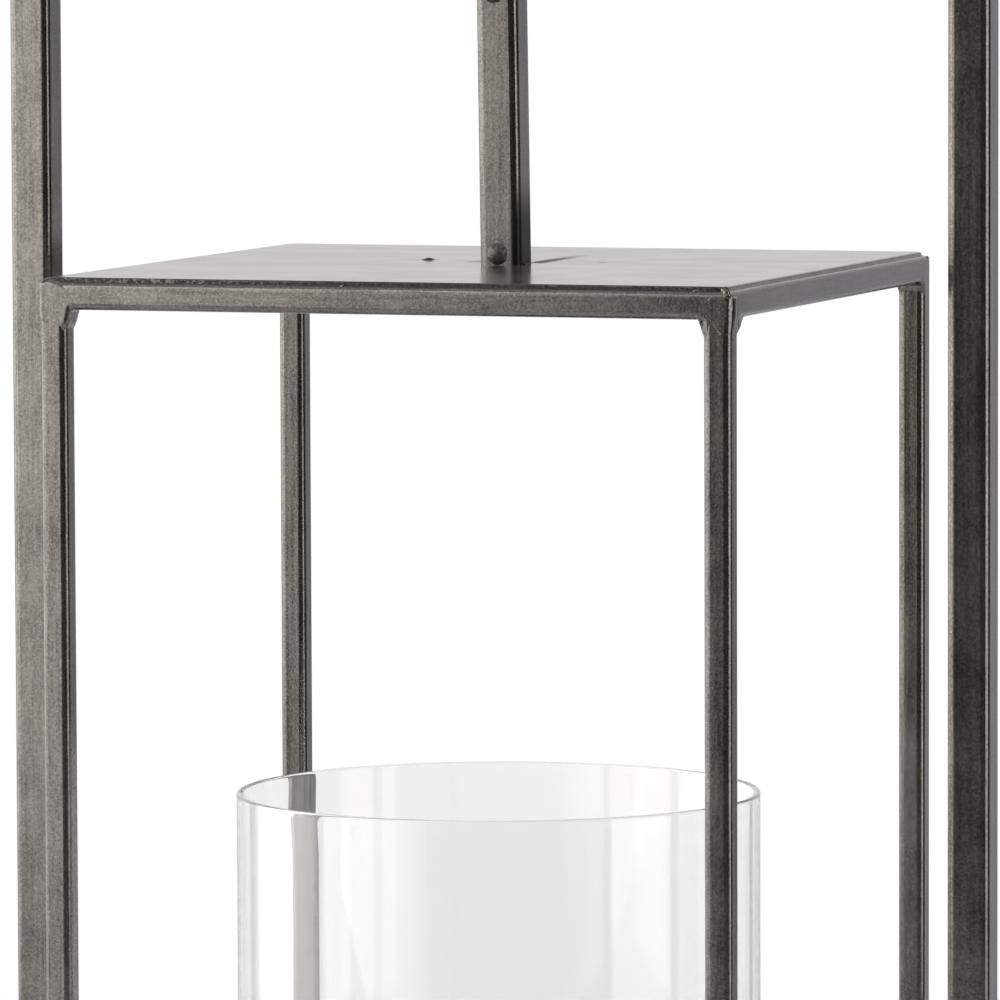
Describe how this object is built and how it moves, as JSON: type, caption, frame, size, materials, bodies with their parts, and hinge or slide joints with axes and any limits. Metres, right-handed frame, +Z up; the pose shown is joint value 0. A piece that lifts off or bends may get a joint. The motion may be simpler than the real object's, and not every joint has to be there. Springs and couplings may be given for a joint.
{
  "type": "hurricane candle lantern",
  "caption": "Tall square-tube lantern: a welded cage round a glass cylinder and pillar candle, carried in a flat rectangular hoop with a riveted hanger.",
  "frame": {"origin": "on the floor, under the middle of the cage", "axes": "+Z up, the front faces -Y, and the flat hoop stands in the plane of X and Z"},
  "size_m": [0.3912, 0.2674, 0.6558],
  "materials": {
    "hoop_metal": "dark rubbed bronze on mild steel tube, waxed satin",
    "cage_metal": "dark rubbed bronze on mild steel tube, waxed satin",
    "plate_metal": "dark rubbed bronze on steel sheet, smooth and glossier than the tube",
    "weld_metal": "ground weld metal under the same finish",
    "block_metal": "plain dark steel",
    "rivet_metal": "domed steel heads, rubbed bright on top",
    "glide_plastic": "matt black moulding",
    "clear_glass": "clear, fire-polished rims",
    "candle_wax": "smooth ivory wax, slightly translucent",
    "wick_cotton": "braided cotton, charred at the tip"
  },
  "bodies": {
    "lantern": {"hoop_post_left": "hoop_metal", "hoop_post_right": "hoop_metal", "hoop_top_rail": "hoop_metal", "hoop_bottom_rail": "hoop_metal", "hoop_crossing_welds": "weld_metal", "hanger_tube": "hoop_metal", "hanger_lower_block": "block_metal", "hanger_upper_block": "block_metal", "hanger_lower_rivet": "rivet_metal", "hanger_upper_rivet": "rivet_metal", "cage_post_front_left": "cage_metal", "cage_post_front_right": "cage_metal", "cage_post_back_left": "cage_metal", "cage_post_back_right": "cage_metal", "top_rail_front": "cage_metal", "top_rail_back": "cage_metal", "top_rail_left": "cage_metal", "top_rail_right": "cage_metal", "bottom_rail_front": "cage_metal", "bottom_rail_back": "cage_metal", "bottom_rail_left": "cage_metal", "bottom_rail_right": "cage_metal", "top_plate": "plate_metal", "top_plate_plug_welds": "weld_metal", "base_plate": "plate_metal", "corner_weld_fillets": "weld_metal", "glass_tabs": "plate_metal", "foot_glides": "glide_plastic"},
    "glass": {"glass_cylinder": "clear_glass"},
    "candle": {"candle": "candle_wax", "wick": "wick_cotton"}
  },
  "joints": [
    {"name": "glass_lift", "type": "slide", "parent": "lantern", "child": "glass", "axis": [0, 0, 1], "range_m": [0, 0.195]},
    {"name": "candle_lift", "type": "slide", "parent": "lantern", "child": "candle", "axis": [0, 0, 1], "range_m": [0, 0.33]}
  ]
}
